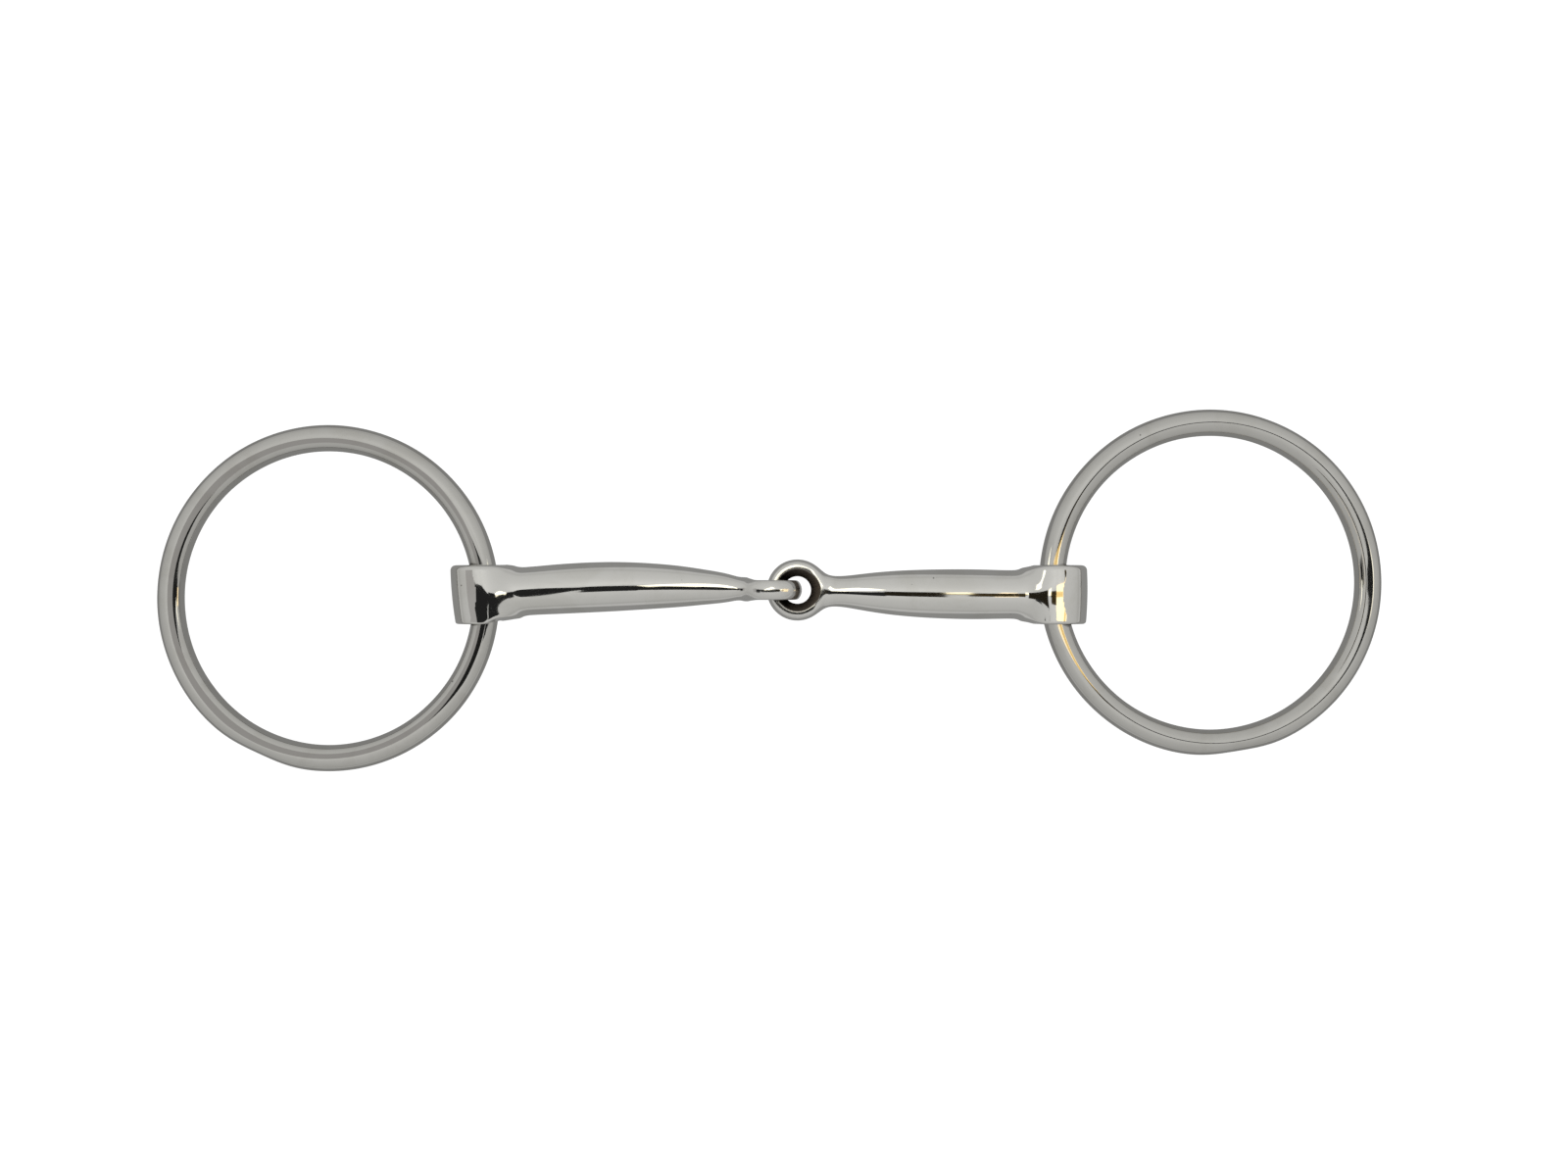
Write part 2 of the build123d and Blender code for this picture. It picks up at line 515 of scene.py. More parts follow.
@dataclass(frozen=True)
class PolishedSteel:
    """Mirror-polished stainless steel with hairlines, film, pits and rubbed places.

    wave_length is in millimetres, and wave_depth, worn_place and worn_reach are in metres. Shares and
    covers run from 0 to 1. hole_shade_colour is painted shade: the skin inside a cannon's holes is
    tinted near black, and hole_roughness makes it rougher there.
    """

    name: str
    grain: Grain
    colour: Colour = (0.700, 0.692, 0.672)
    film_colour: Colour = (0.655, 0.645, 0.618)
    pit_colour: Colour = (0.16, 0.15, 0.14)
    hole_shade_colour: Colour = (0.115, 0.100, 0.088)
    # near-black painted shade on the skin inside a cannon's holes
    grazing_tint: Colour = (0.86, 0.86, 0.86)
    roughness: float = 0.055
    film_roughness: float = 0.05
    scratch_roughness: float = 0.16
    pit_roughness: float = 0.3
    hole_roughness: float = 0.16
    scratch_cover: float = 0.3
    pit_share: float = 0.05
    wave_length: float = 7.0
    wave_depth: float = 6e-6
    worn_place: tuple[float, float, float] = (0.0, 0.0, 0.0)
    worn_reach: float = 0.008
    worn_strength: float = 0.7

    def build(self, groups: SteelGroups) -> bpy.types.Material:
        """Make the material.

        Args:
            groups: the node groups shared by all steel.

        Returns:
            The material.
        """
        material = bpy.data.materials.new(self.name)
        bench = new_nodes(material)
        place = bench.add("ShaderNodeTexCoord").outputs["Object"]
        waviness = bench.add("ShaderNodeGroup", {}, node_tree=groups.waviness)
        scratches = bench.add("ShaderNodeGroup", {}, node_tree=groups.scratches)
        pits = bench.add("ShaderNodeGroup", {}, node_tree=groups.pits)
        film = bench.add("ShaderNodeGroup", {}, node_tree=groups.film)
        wear = bench.add("ShaderNodeGroup", {}, node_tree=groups.wear)
        for node in (waviness, scratches, pits, film, wear):
            bench.tree.links.new(place, node.inputs["Place"])
        waviness.inputs["Length"].default_value = self.wave_length
        waviness.inputs["Depth"].default_value = self.wave_depth
        scratches.inputs["Grain"].default_value = self.grain.value
        scratches.inputs["Cover"].default_value = self.scratch_cover
        pits.inputs["Share"].default_value = self.pit_share
        wear.inputs["Centre"].default_value = self.worn_place
        wear.inputs["Reach"].default_value = self.worn_reach

        hole_shade = bench.add("ShaderNodeAttribute", attribute_name="shaded_hole_skin").outputs["Fac"]
        tint = bench.mixed(film.outputs["Mask"], (*self.colour, 1), (*self.film_colour, 1))
        tint = bench.mixed(pits.outputs["Mask"], tint, (*self.pit_colour, 1))
        # painted shade: the skin inside the holes is tinted near black
        tint = bench.mixed(hole_shade, tint, (*self.hole_shade_colour, 1))

        rubbed = bench.maths("MULTIPLY", wear.outputs["Mask"], self.worn_strength)
        marks = bench.maths("MAXIMUM", scratches.outputs["Mask"], rubbed)
        rough = self.roughness
        for mask, roughening in (
            (film.outputs["Mask"], self.film_roughness),
            (marks, self.scratch_roughness),
            (pits.outputs["Mask"], self.pit_roughness),
            (hole_shade, self.hole_roughness),
        ):
            rough = bench.maths("ADD", rough, bench.maths("MULTIPLY", mask, roughening))
        height = bench.maths("ADD", waviness.outputs["Height"], scratches.outputs["Height"])
        height = bench.maths("ADD", height, pits.outputs["Height"])
        bump = bench.add("ShaderNodeBump", {"Strength": 1.0, "Distance": 1.0, "Height": height})
        steel = bench.add(
            "ShaderNodeBsdfPrincipled",
            {
                "Base Color": tint,
                "Metallic": 1.0,
                "Roughness": rough,
                "Specular Tint": (*self.grazing_tint, 1),
                "Normal": bump.outputs["Normal"],
            },
        )
        bench.add("ShaderNodeOutputMaterial", {"Surface": steel.outputs[0]})
        return material


# ---- cannons --------------------------------------------------------------------------------


@dataclass
class Cannon:
    """One arm of the mouthpiece: bored butt, barrel, tapering neck and eye in one casting.

    inward is 1 if the arm runs to the right of its ring and -1 if to the left, and hole and eye are
    the middles of its two holes. Sizes are in millimetres. The width and depth of the barrel are
    given by the distance from the eye's middle. Towards the butt the barrel opens out to the butt's
    height, less one of the saddle_parts of saddle_width at either end. waist is how much narrower it
    is drawn in beside the butt. The cells are those of the grid that its skin is drawn from.
    """

    name: str
    inward: int
    hole: Vector
    eye: Vector
    linked: Linked
    bow: float
    butt_skew: float
    upper_rim_round: float
    lower_rim_round: float
    butt_radius: float = 6.8
    butt_bulge: float = 0.25
    butt_height: float = 13.0
    bore_radius: float = 4.0
    bore_mouth_round: float = 0.8
    bore_edge_round: float = 0.2
    shoulder_half: float = 5.2
    shoulder_clear: float = 0.2
    shoulder_round: float = 0.9
    saddle_width: float = 3.4
    saddle_parts: float = 7.0
    barrel_start: float = 0.4
    barrel_end: float = 4.9
    flare_span: tuple[float, float] = (0.8, 8.8)
    lower_flare_span: tuple[float, float] = (0.8, 8.8)
    flare_rise: float = 0.45
    waist: float = 0.35
    waist_reach: float = 9.5
    waist_spread: float = 6.0
    eye_radius: float = 6.7
    eye_hole_radius: float = 3.0
    eye_depth: float = 4.3
    eye_edge_arc: float = 2.81
    eye_mouth_radius: float = 4.65
    eye_edge_round: float = 0.5
    eye_hole_round: float = 0.22
    eye_land: float = 0.6
    eye_blend: float = 2.6
    # how near the holes' skin a corner must be for the painted shade, and how it fades, in millimetres
    hole_shade_reach: float = 0.15
    hole_shade_fade: float = 0.12
    butt_cell: float = 0.27
    barrel_cell: float = 0.55
    eye_cell: float = 0.17
    cross_cell: float = 0.23
    width: SmoothCurve = SmoothCurve(
        (4.8, 8.9, 11.5, 15.0, 18.5, 22.0, 26.0, 30.0, 36.0, 44.0),
        (7.3, 6.72, 7.2, 8.22, 9.12, 9.8, 10.33, 10.67, 10.93, 11.0),
    )
    depth: SmoothCurve = SmoothCurve(
        (3.2, 5.8, 9.2, 14.4, 19.5, 24.7, 30.0, 35.0, 40.0),
        (4.2, 4.6, 6.05, 7.66, 8.9, 9.8, 10.45, 10.85, 11.0),
    )

    @property
    def arm(self) -> float:
        """Distance along X from the ring hole to the middle of the eye."""
        return abs(self.eye.x - self.hole.x)

    def middle_y(self, reach: np.ndarray) -> np.ndarray:
        """Where the barrel's middle lies across the bit, at a distance from the ring hole."""
        part_way = np.clip(reach / self.arm, 0, 1)
        return (self.eye.y - self.hole.y) * part_way + self.bow * np.sin(np.pi * part_way)

    def flare(self, reach: np.ndarray, across: np.ndarray) -> np.ndarray:
        """How far the barrel has opened out into the butt.

        Args:
            reach: distances from the ring hole towards the eye.
            across: distances along Y from the middle; only their signs count, since the lower side
                has a span of its own.

        Returns:
            0 on the barrel to 1 in the butt.
        """
        start = np.where(across > 0, self.flare_span[0], self.lower_flare_span[0])
        end = np.where(across > 0, self.flare_span[1], self.lower_flare_span[1])
        part = np.clip((end - reach) / (end - start), 0, 1)
        return part**3 * (part * (6 * part - 15) + 10)

    def upper_flare(self, reach: np.ndarray) -> np.ndarray:
        """How far the barrel's upper side has opened out into the butt; see flare."""
        return self.flare(reach, np.ones_like(reach))

    def off_middle(self, reach: np.ndarray, across: np.ndarray) -> np.ndarray:
        """Distance along Y from the arm's middle, which eases to the hole's axis in the butt."""
        return across - self.middle_y(reach) * (1 - self.upper_flare(reach))

    def barrel(self, reach: np.ndarray, across: np.ndarray, up: np.ndarray) -> np.ndarray:
        """Signed distance to the barrel and neck.

        Args:
            reach: distances from the ring hole towards the eye.
            across: distances along Y from the hole's axis.
            up: distances along Z from the hole's axis.

        Returns:
            The signed distances.
        """
        to_eye = self.arm - reach
        narrowing = self.waist * np.exp(-(((reach - self.waist_reach) / self.waist_spread) ** 2))
        wide = (self.width(to_eye) - narrowing) / 2
        deep = (self.depth(to_eye) - narrowing) / 2
        in_y, in_z = (deep, wide) if self.linked is Linked.ACROSS else (wide, deep)
        y = self.off_middle(reach, across)
        open_half = self.butt_height / 2 - self.saddle_width / self.saddle_parts
        in_y = in_y + (open_half - in_y) * self.flare(reach, y)
        in_z = in_z + self.flare_rise * self.upper_flare(reach) ** 1.5
        share = np.sqrt((y / in_y) ** 2 + (up / in_z) ** 2)
        steep = np.sqrt((y / in_y**2) ** 2 + (up / in_z**2) ** 2)
        side = share * (share - 1) / np.maximum(steep, 1e-6)
        core = 0.2
        side = np.where(share < core, (core - 1) * np.minimum(in_y, in_z), side)
        side = np.maximum(side, self.barrel_start - reach)
        return np.maximum(side, self.barrel_end - to_eye)

    def butt(self, reach: np.ndarray, across: np.ndarray, up: np.ndarray) -> np.ndarray:
        """Signed distance to the butt's outside, a swelling sleeve with rounded rims; see barrel."""
        half = self.butt_height / 2
        part = np.clip(across / half, -1, 1)
        centre = -self.butt_skew * part
        radial = np.hypot(reach - centre, up)
        rim = np.where(across > 0, self.upper_rim_round, self.lower_rim_round)
        side = radial - (self.butt_radius + self.butt_bulge * (1 - part**2)) + rim
        end = np.abs(across) - half + rim
        outside = np.hypot(np.maximum(side, 0), np.maximum(end, 0))
        sleeve = outside + np.minimum(np.maximum(side, end), 0) - rim
        centred = self.off_middle(reach, across)
        opened = self.flare(reach, centred)
        half_here = self.shoulder_half + (half + self.shoulder_clear - self.shoulder_half) * opened
        return smooth_most(sleeve, np.abs(centred) - half_here, self.shoulder_round)

    def bore(self, reach: np.ndarray, across: np.ndarray, up: np.ndarray) -> np.ndarray:
        """Signed distance to the ring's hole, with its rounded mouths; see barrel."""
        mouth = self.bore_mouth_round
        past = np.clip(np.abs(across) - (self.butt_height / 2 - mouth), 0, mouth)
        return np.hypot(reach, up) - (self.bore_radius + mouth - np.sqrt(mouth**2 - past**2))

    def eye_parts(self, radial: np.ndarray, off: np.ndarray) -> tuple[np.ndarray, np.ndarray]:
        """Signed distances to the eye's disc and to its countersunk hole.

        Args:
            radial: distances from the eye's axis.
            off: distances along that axis from the eye's middle.

        Returns:
            The distances to the disc and to the hole.
        """
        half = self.eye_depth / 2
        edge = np.hypot(radial - (self.eye_radius - self.eye_edge_arc), off) - self.eye_edge_arc
        edge = np.where(radial < self.eye_radius - self.eye_edge_arc, -self.eye_edge_arc, edge)
        disc = smooth_most(edge, np.abs(off) - half, self.eye_edge_round)
        land = self.eye_land / 2
        flare = (self.eye_mouth_radius - self.eye_hole_radius) / (half - land)
        opening = self.eye_hole_radius + flare * np.maximum(np.abs(off) - land, 0)
        return disc, (radial - opening) / math.hypot(1, flare)

    def solid(self, points: np.ndarray) -> np.ndarray:
        """Signed distance to the whole cannon.

        Args:
            points: N by 3 places in millimetres.

        Returns:
            The signed distances, negative inside.
        """
        metal, hole, bore = self.parts(points)
        metal = smooth_most(metal, -hole, self.eye_hole_round)
        return smooth_most(metal, -bore, self.bore_edge_round)

    def parts(self, points: np.ndarray) -> tuple[np.ndarray, np.ndarray, np.ndarray]:
        """Signed distances to the undrilled casting, the eye's hole and the ring's hole.

        Args:
            points: N by 3 places in millimetres.

        Returns:
            The three sets of signed distances.
        """
        reach = (points[:, 0] - self.hole.x) * self.inward
        across = points[:, 1] - self.hole.y
        up = points[:, 2] - self.hole.z
        metal = smooth_least(self.barrel(reach, across, up), self.butt(reach, across, up), self.saddle_width)
        along = reach - self.arm
        off_y = points[:, 1] - self.eye.y
        off_z = points[:, 2] - self.eye.z
        if self.linked is Linked.ACROSS:
            disc, hole = self.eye_parts(np.hypot(along, off_z), off_y)
        else:
            disc, hole = self.eye_parts(np.hypot(along, off_y), off_z)
        return smooth_least(metal, disc, self.eye_blend), hole, self.bore(reach, across, up)

    def shaded_hole_skin(self, points: np.ndarray) -> np.ndarray:
        """Work out where shade is painted: on the skin inside the two holes.

        Args:
            points: N by 3 places on the cannon's surface, in millimetres.

        Returns:
            0 on the polish to 1 in the holes.
        """
        _, hole, bore = self.parts(points)
        inside = np.minimum(np.abs(hole), np.abs(bore))
        return np.clip((self.hole_shade_reach - inside) / self.hole_shade_fade, 0, 1)

    def grid(self) -> Grid:
        """Lay out the grid for the skin, finer at the butt and finest at the eye.

        Returns:
            Rising places along X, Y and Z.
        """
        butt_end, eye_start = 10.0, self.arm - 11.0
        reaches = np.concatenate([
            np.arange(-8.4, butt_end, self.butt_cell),
            np.arange(butt_end, eye_start, self.barrel_cell),
            np.arange(eye_start, self.arm + 7.4, self.eye_cell),
        ])
        across = np.arange(self.hole.y - 7.6, self.hole.y + 9.0, self.cross_cell)
        up = np.arange(self.hole.z - 7.5, self.hole.z + 7.6, self.cross_cell)
        return np.sort(self.hole.x + self.inward * reaches), across, up

    def build(self) -> bpy.types.Object:
        """Build the cannon.

        Returns:
            The piece.
        """
        corners, faces = skin(self.solid, self.grid())
        normals = unit(slope_of(self.solid, corners, 0.02))
        return make_piece(self.name, corners, faces, normals, self.shaded_hole_skin(corners))


# ---- rings ----------------------------------------------------------------------------------


@dataclass
class CheekRing:
    """A cheek ring: bar bent to a circle, its weld ground a little thinner than the bar.

    Sizes are in millimetres and angles in degrees. Each wave of the hand polish has its height, how
    many times it goes round the ring, and where it starts, in radians.
    """

    name: str
    inward: int
    middle: Vector
    slope: float
    weld_angle: float
    radius: float = 35.2
    bar_radius: float = 2.9
    weld_thinning: float = 0.6
    weld_length: float = 6.5
    flat_face: float = 0.14
    face_lean: float = 40.0
    oversize: float = 0.05
    waves: tuple[tuple[float, int, float], ...] = ((0.012, 5, 1.3), (0.009, 11, 0.4))
    steps_round: int = 480
    steps_bar: int = 64

    def section(self, turn: np.ndarray, around: np.ndarray) -> np.ndarray:
        """Radius of the bar's section: round, but for its weld and the faces that a wheel has ground.

        Args:
            turn: angles round the ring.
            around: angles round the bar, 0 away from the ring's middle and a quarter turn up.

        Returns:
            The bar's radius there.
        """
        lean = math.radians(self.face_lean)
        ground = self.flat_face * (1 - np.cos(2 * (around - lean))) / 2
        wavy = sum(height * np.sin(count * turn + start) for height, count, start in self.waves)
        off = (turn - math.radians(self.weld_angle) + np.pi) % (2 * np.pi) - np.pi
        weld = self.weld_thinning * np.exp(-((off * self.radius / self.weld_length) ** 2))
        weld = weld * np.clip(np.cos(around), 0, 1) ** 1.5
        return self.bar_radius + self.oversize - ground - wavy - weld

    def place(self, turn: np.ndarray, around: np.ndarray) -> np.ndarray:
        """Where a point of the bar's surface lies.

        Args:
            turn: angles round the ring.
            around: angles round the bar.

        Returns:
            N by 3 places in millimetres.
        """
        tilt = math.radians(self.slope)
        size = self.section(turn, around)
        out = self.radius + size * np.cos(around)
        along, across, above = out * np.cos(turn), out * np.sin(turn), size * np.sin(around)
        x = self.middle.x + along * math.cos(tilt) - self.inward * above * math.sin(tilt)
        z = self.middle.z + self.inward * along * math.sin(tilt) + above * math.cos(tilt)
        return np.stack([x, self.middle.y + across, z], -1)

    def build(self) -> bpy.types.Object:
        """Build the ring.

        Returns:
            The piece.
        """
        turn, around = np.meshgrid(
            np.arange(self.steps_round) * 2 * np.pi / self.steps_round,
            np.arange(self.steps_bar) * 2 * np.pi / self.steps_bar,
            indexing="ij",
        )
        turn, around = turn.ravel(), around.ravel()
        number = np.arange(len(turn)).reshape(self.steps_round, self.steps_bar)
        ahead = np.roll(number, -1, 0)
        faces = np.stack([number, ahead, np.roll(ahead, -1, 1), np.roll(number, -1, 1)], -1).reshape(-1, 4)
        small = 1e-4
        along = self.place(turn + small, around) - self.place(turn - small, around)
        over = self.place(turn, around + small) - self.place(turn, around - small)
        normals = unit(np.cross(along, over))
        return make_piece(self.name, self.place(turn, around), faces, normals, np.zeros(len(turn)))


# ---- the bit --------------------------------------------------------------------------------


@dataclass
class SnaffleBit:
    """The whole bit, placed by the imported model's joints and boxes."""

    frame: dict
    groups: SteelGroups

    def joint(self, name: str) -> Vector:
        """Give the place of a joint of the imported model, in millimetres."""
        found = next(j for j in self.frame["joints"] if j["name"] == name)
        return Vector(found["pos_m"]) / MM

    def dress(self, piece: bpy.types.Object, node: str, finish: PolishedSteel) -> None:
        """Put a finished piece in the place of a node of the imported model.

        Args:
            piece: the new piece.
            node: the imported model's node and body, which have one name.
            finish: what the piece is made of.
        """
        piece.data.materials.append(finish.build(self.groups))
        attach(piece, node)
        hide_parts(node)
        LOG.info("%s: %d faces, %s", piece.name, len(piece.data.polygons), finish.name)

    def ring(self, node: str, inward: int, hole: Vector, weld_angle: float) -> CheekRing:
        """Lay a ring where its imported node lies.

        Args:
            node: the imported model's node.
            inward: 1 if the mouthpiece lies to the ring's right, and -1 if to its left.
            hole: the middle of the ring's hole.
            weld_angle: where round the ring its weld is, in degrees.

        Returns:
            The ring.
        """
        low, high = (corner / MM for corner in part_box(node))
        bar = CheekRing.bar_radius
        slope = math.asin((hole.z - bar) / (2 * CheekRing.radius))
        far = low.x if inward == 1 else high.x
        middle_x = far + inward * (CheekRing.radius * math.cos(slope) + bar)
        middle = Vector((middle_x, (low.y + high.y) / 2, (low.z + high.z) / 2))
        return CheekRing(f"{node}_polished", inward, middle, math.degrees(slope), weld_angle)

    def build(self) -> None:
        """Build and dress all four pieces."""
        left_hole, right_hole = self.joint("left_ring_swing"), self.joint("right_ring_swing")
        left_eye = self.joint("mouthpiece_fold")
        right_low, _ = (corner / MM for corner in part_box("right_cannon"))
        right_eye = Vector((right_low.x + Cannon.eye_radius, left_eye.y, left_eye.z))

        left = Cannon(
            "left_cannon_polished", 1, left_hole, left_eye, Linked.ACROSS, 1.3,
            butt_skew=0.6, upper_rim_round=1.3, lower_rim_round=0.5, lower_flare_span=(-0.8, 4.6),
        )
        right = Cannon(
            "right_cannon_polished", -1, right_hole, right_eye, Linked.UPRIGHT, -0.3,
            butt_skew=0.1, upper_rim_round=1.2, lower_rim_round=0.7,
        )
        self.dress(left.build(), "left_cannon", PolishedSteel(
            "cast steel, left cannon", Grain.ROUND_THE_BARREL, worn_place=tuple(left_eye * MM)))
        self.dress(right.build(), "right_cannon", PolishedSteel(
            "cast steel, right cannon", Grain.ROUND_THE_BARREL, worn_place=tuple(right_eye * MM)))
        self.dress(self.ring("left_ring", 1, left_hole, -114.0).build(), "left_ring", PolishedSteel(
            "bar steel, left ring", Grain.MIXED, BAR_COLOUR, BAR_FILM_COLOUR, pit_share=0.02,
            worn_place=tuple(left_hole * MM)))
        self.dress(self.ring("right_ring", -1, right_hole, -81.0).build(), "right_ring", PolishedSteel(
            "bar steel, right ring", Grain.MIXED, BAR_COLOUR, BAR_FILM_COLOUR, pit_share=0.02,
            worn_place=tuple(right_hole * MM)))


# ---- studio ---------------------------------------------------------------------------------


@dataclass(frozen=True)
class Softbox:
    """A lit panel over the bit; its place and size are in millimetres."""

    name: str
    place: tuple[float, float, float]
    size: tuple[float, float]
    brightness: float
    colour: Colour

    def hang(self) -> None:
        """Hang the panel, facing the frame's origin, under the middle of the bit."""
        data = bpy.data.lights.new(self.name, "AREA")
        data.shape = "RECTANGLE"
        data.size, data.size_y = self.size[0] * MM, self.size[1] * MM
        data.energy = self.brightness * math.pi * data.size * data.size_y
        data.color = self.colour
        lamp = bpy.data.objects.new(self.name, data)
        lamp.location = Vector(self.place) * MM
        lamp.rotation_mode = "QUATERNION"
        lamp.rotation_quaternion = Vector(self.place).to_track_quat("Z", "Y")
        lamp.visible_camera = False
        bpy.context.scene.collection.objects.link(lamp)


def level_sheet(
    name: str, corners: list[tuple[float, float]], place: Vector
) -> tuple[bpy.types.Object, Bench]:
    """Make a flat, level sheet with four corners, whose material has no nodes yet.

    Args:
        name: the name of the sheet and of its material.
        corners: X and Y of each corner from the sheet's place, in metres.
        place: where the sheet lies, in metres.

    Returns:
        The sheet, and the bench for its material's nodes.
    """
    mesh = bpy.data.meshes.new(name)
    mesh.from_pydata([(x, y, 0) for x, y in corners], [], [(0, 1, 2, 3)])
    sheet = bpy.data.objects.new(name, mesh)
    sheet.location = place
    bpy.context.scene.collection.objects.link(sheet)
    material = bpy.data.materials.new(name)
    mesh.materials.append(material)
    return sheet, new_nodes(material)


@dataclass(frozen=True)
class DarkCard:
    """A dull card over the bit, which draws a dark or grey line on polished steel.

    Its place and size are in millimetres. right_end holds the lowest and highest Y of its right
    side, for a card that isn't a rectangle.
    """

    name: str
    place: tuple[float, float, float]
    size: tuple[float, float]
    colour: Colour = (0.02, 0.02, 0.02)
    right_end: tuple[float, float] | None = None

    def hang(self) -> None:
        """Hang the card level, where only the steel sees it."""
        x, y = self.size[0] / 2 * MM, self.size[1] / 2 * MM
        low, high = -y, y
        if self.right_end is not None:
            low, high = ((end - self.place[1]) * MM for end in self.right_end)
        corners = [(-x, -y), (-x, y), (x, high), (x, low)]
        card, bench = level_sheet(self.name, corners, Vector(self.place) * MM)
        card.visible_camera = False
        card.visible_diffuse = False
        dull = bench.add("ShaderNodeEmission", {"Color": (*self.colour, 1), "Strength": 1.0})
        bench.add("ShaderNodeOutputMaterial", {"Surface": dull.outputs[0]})


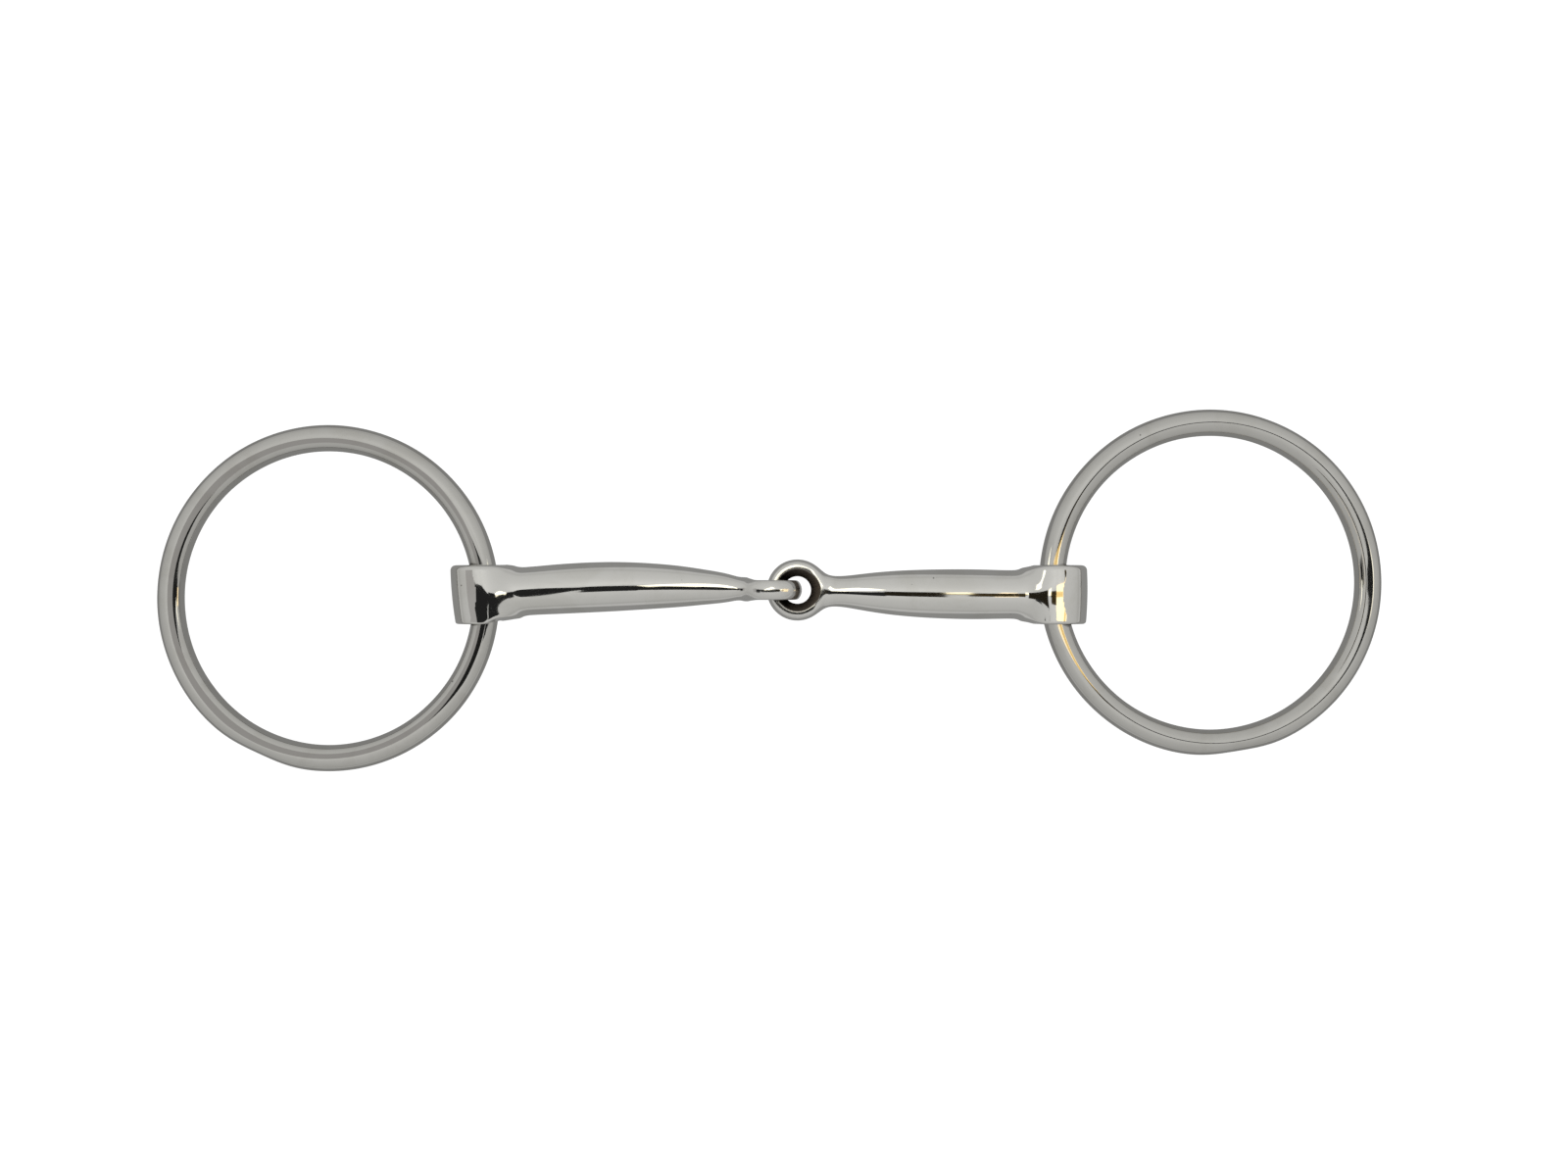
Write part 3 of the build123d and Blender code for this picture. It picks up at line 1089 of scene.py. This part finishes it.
@dataclass
class Studio:
    """Pale floor, mirrored table, soft room light, lamps and cards, and the camera straight above.

    Sizes are in millimetres. The table is darkest within table_fade's first distance of the mouthpiece
    and the rings, and lightest beyond its second: a painted shadow of the bit on the table, which only the
    steel mirrors. room_bands are brightnesses by the angle from straight up, in degrees.
    """

    camera_height: float = 450.0
    view_width: float = 343.5
    sensor_width: float = 36.0
    aim: tuple[float, float, float] = (3.24, 0.65, 7.05)
    sheet_reach: float = 15000.0
    floor_height: float = -160.0
    floor_matt: float = 0.3
    floor_glow: float = 0.92
    floor_seen_in_steel: float = 0.6
    table_height: float = -0.1
    # painted shadow: how bright the table glows near the bit
    table_shadow_in_steel: float = 0.35
    far_table_in_steel: float = 0.62
    table_fade: tuple[float, float] = (34.0, 48.0)
    mouth_half: float = 62.0
    ring_middle: float = 97.0
    ring_radius: float = 38.0
    near_plane: float = 68.0
    far_plane: float = 600.0
    side_light: tuple[float, float] = (0.94, 1.06)
    room_blue: float = 0.975
    room_bands: tuple[tuple[float, float], ...] = (
        (0.0, 0.70), (12.0, 0.84), (28.0, 0.74), (45.0, 0.68),
        (76.0, 0.62), (82.0, 0.56), (87.0, 0.54), (90.0, 0.58),
    )

    def camera(self) -> None:
        """Hang the camera over the bit, looking straight down."""
        data = bpy.data.cameras.new("camera")
        data.sensor_width = self.sensor_width
        data.lens = self.sensor_width * self.camera_height / self.view_width
        data.clip_start, data.clip_end = 0.01, 20.0
        camera = bpy.data.objects.new("camera", data)
        camera.location = (Vector(self.aim) + Vector((0, 0, self.camera_height))) * MM
        bpy.context.scene.collection.objects.link(camera)
        bpy.context.scene.camera = camera

    def room(self) -> None:
        """Light the room: a bright ceiling, grey walls and a dim skirting."""
        world = bpy.data.worlds.new("room")
        bench = new_nodes(world)
        direction = bench.add("ShaderNodeTexCoord").outputs["Generated"]
        parts = bench.add("ShaderNodeSeparateXYZ", {0: direction})
        tilt = bench.maths("DIVIDE", bench.maths("ARCCOSINE", parts.outputs["Z"]), math.pi / 2)
        ramp = bench.add("ShaderNodeValToRGB", {"Fac": tilt})
        ramp.color_ramp.interpolation = "LINEAR"
        points = ramp.color_ramp.elements
        points.remove(points[1])
        for i, (angle, light) in enumerate(self.room_bands):
            point = points[0] if i == 0 else points.new(angle / 90.0)
            point.color = (light, light, light * self.room_blue, 1)
        side = bench.between(parts.outputs["Y"], -0.4, 0.4, *self.side_light)
        background = bench.add("ShaderNodeBackground", {"Color": ramp.outputs["Color"], "Strength": side})
        bench.add("ShaderNodeOutputWorld", {"Surface": background.outputs[0]})
        bpy.context.scene.world = world

    def sheet(self, name: str, height: float) -> tuple[bpy.types.Object, Bench]:
        """Lay a wide level sheet.

        Args:
            name: its name.
            height: how high it lies.

        Returns:
            The sheet, and the bench for its material's nodes.
        """
        reach = self.sheet_reach * MM
        corners = [(-reach, -reach), (reach, -reach), (reach, reach), (-reach, reach)]
        sheet, bench = level_sheet(name, corners, Vector((0, 0, height)) * MM)
        return sheet, bench

    def floor(self) -> None:
        """Lay the pale floor, deep enough for a ring that swings down; steel sees it greyer."""
        _, bench = self.sheet("pale floor", self.floor_height)
        eye = bench.add("ShaderNodeLightPath").outputs["Is Camera Ray"]
        matt = bench.add("ShaderNodeBsdfDiffuse", {"Color": (*[self.floor_matt] * 3, 1)})
        white = (1, 1, 1, 1)
        glow = bench.add("ShaderNodeEmission", {"Color": white, "Strength": self.floor_glow})
        bright = bench.add("ShaderNodeAddShader", {0: matt.outputs[0], 1: glow.outputs[0]})
        grey = bench.add("ShaderNodeEmission", {"Color": white, "Strength": self.floor_seen_in_steel})
        mixed = bench.add("ShaderNodeMixShader", {0: eye, 1: grey.outputs[0], 2: bright.outputs[0]})
        bench.add("ShaderNodeOutputMaterial", {"Surface": mixed.outputs[0]})

    def table(self) -> None:
        """Lay the grey table that only the steel mirrors, as if the bit lay on it, with the bit's shadow
        painted on it.
        """
        table, bench = self.sheet("mirrored table", self.table_height)
        table.visible_camera = False
        position = bench.add("ShaderNodeNewGeometry").outputs["Position"]
        spot = bench.add("ShaderNodeSeparateXYZ", {0: position})
        x = bench.maths("ABSOLUTE", spot.outputs["X"])
        y = bench.maths("ABSOLUTE", spot.outputs["Y"])
        off_mouth = bench.maths("MAXIMUM", y, bench.maths("SUBTRACT", x, self.mouth_half * MM))
        ring_x = bench.maths("SUBTRACT", x, self.ring_middle * MM)
        squares = bench.maths("MULTIPLY", ring_x, ring_x), bench.maths("MULTIPLY", y, y)
        from_ring = bench.maths("SQRT", bench.maths("ADD", *squares))
        off_ring = bench.maths("SUBTRACT", from_ring, self.ring_radius * MM)
        off = bench.maths("MINIMUM", off_mouth, off_ring)
        near, far = (distance * MM for distance in self.table_fade)
        # painted shadow: the table glows dimmer near the mouthpiece and rings
        light = bench.between(off, near, far, self.table_shadow_in_steel, self.far_table_in_steel)
        grey = bench.add("ShaderNodeEmission", {"Color": (1, 1, 0.985, 1), "Strength": light})
        bench.add("ShaderNodeOutputMaterial", {"Surface": grey.outputs[0]})

    def build(self) -> None:
        """Set up the floor, the mirrored table, the room, the lamps and cards, and the camera."""
        self.floor()
        self.table()
        self.room()
        near, far = self.near_plane, self.far_plane
        for panel in (
            Softbox("high cream lamp", (475, 0, far), (70, 90), 1.1, (1.0, 0.92, 0.68)),
            Softbox("cream lamp", (-6.5, 9, near), (43, 17), 1.5, (1.0, 0.95, 0.74)),
            Softbox("small gold lamp", (43, 2.5, near), (9, 13), 1.4, (1.0, 0.86, 0.52)),
            Softbox("gold lamp", (76, -4, near), (28, 46), 1.3, (1.0, 0.70, 0.26)),
            DarkCard("high card", (165, 0, far), (530, 60)),
            DarkCard("grey left card", (-118, -4, near), (52, 60), (0.47, 0.46, 0.45)),
            DarkCard("left card", (-77, -13, near), (30, 44)),
            DarkCard("left wedge card", (-54, -13, near), (16, 44), right_end=(-9.5, 1.5)),
            DarkCard("inner left card", (-37, -9, near), (18, 26)),
            DarkCard("under card", (-6.5, -9.5, near), (43, 20)),
            DarkCard("middle card", (26.5, -5, near), (23, 22), (0.02, 0.016, 0.01)),
            DarkCard("inner right card", (54.5, -4, near), (14, 15), (0.05, 0.034, 0.012)),
            DarkCard("last right card", (94, -4, near), (8, 46), (0.05, 0.036, 0.016)),
        ):
            panel.hang()
        self.camera()
        bpy.context.scene.view_settings.view_transform = "Standard"


def main() -> None:
    """Build the bit and its studio, logging each new piece's face count."""
    logging.basicConfig(level=logging.INFO, format="%(message)s", force=True)
    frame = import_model()
    SnaffleBit(frame, SteelGroups.build()).build()
    Studio().build()


if __name__ == "__main__":
    main()
